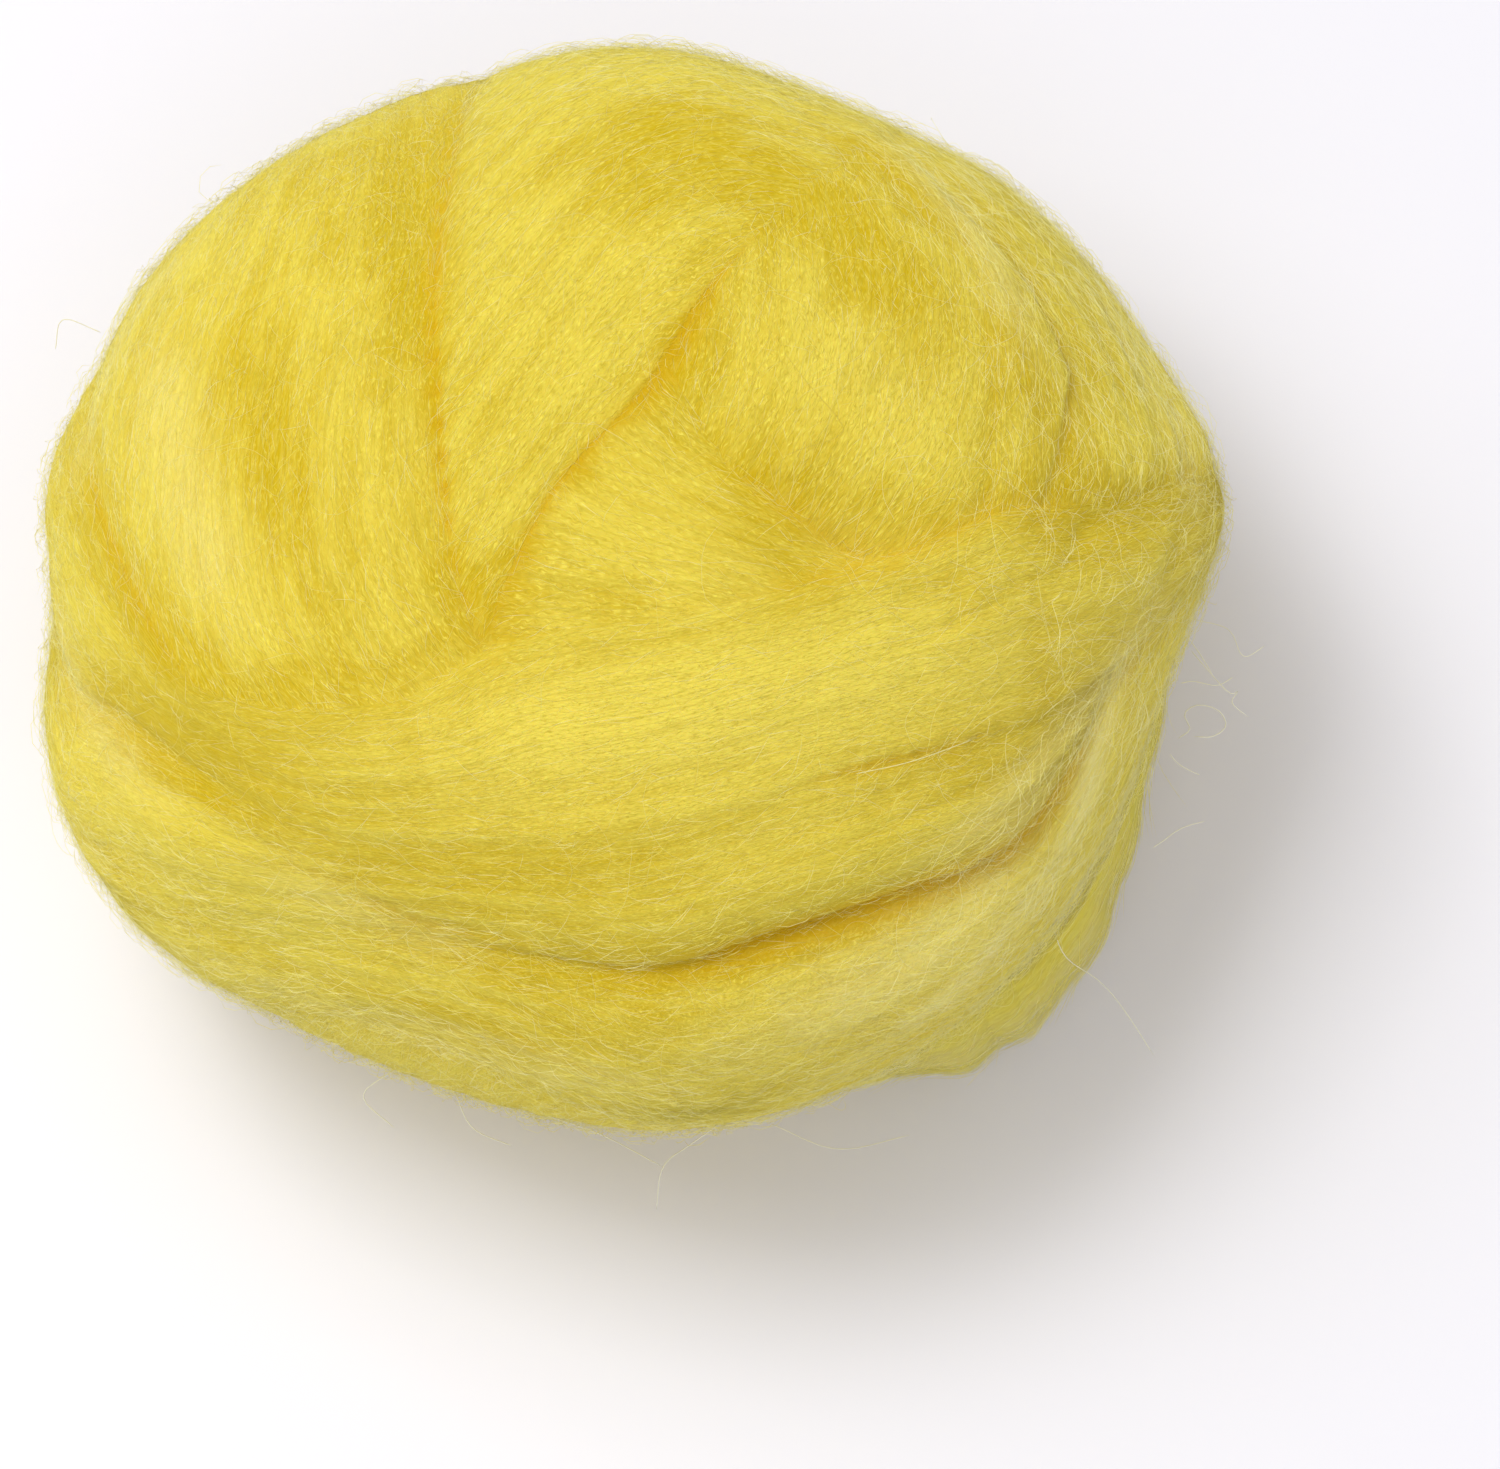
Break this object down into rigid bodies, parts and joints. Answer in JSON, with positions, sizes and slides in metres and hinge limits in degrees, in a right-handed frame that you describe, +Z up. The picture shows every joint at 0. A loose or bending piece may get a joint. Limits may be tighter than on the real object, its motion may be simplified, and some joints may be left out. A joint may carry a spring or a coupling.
{
  "type": "ball of wool roving",
  "caption": "Soft round ball wound from one length of combed wool roving for felting or spinning, with overlapping wraps, a flat spot it rests on and a thin loose end.",
  "frame": {"origin": "middle of the bounding box, on the surface the ball rests on", "axes": "+Z up, +X to the ball's right and -Y towards the front, where the wide wrap crosses the ball and the loose end hangs at the right"},
  "size_m": [0.1738, 0.163, 0.13],
  "materials": {
    "wool": "matt combed wool fibre, dyed yellow, fine fibres lying along each wrap",
    "wool_end": "the same wool drawn thin, so that light comes through"
  },
  "bodies": {
    "root": {"wound_ball": "wool", "loose_end": "wool_end"}
  },
  "joints": []
}
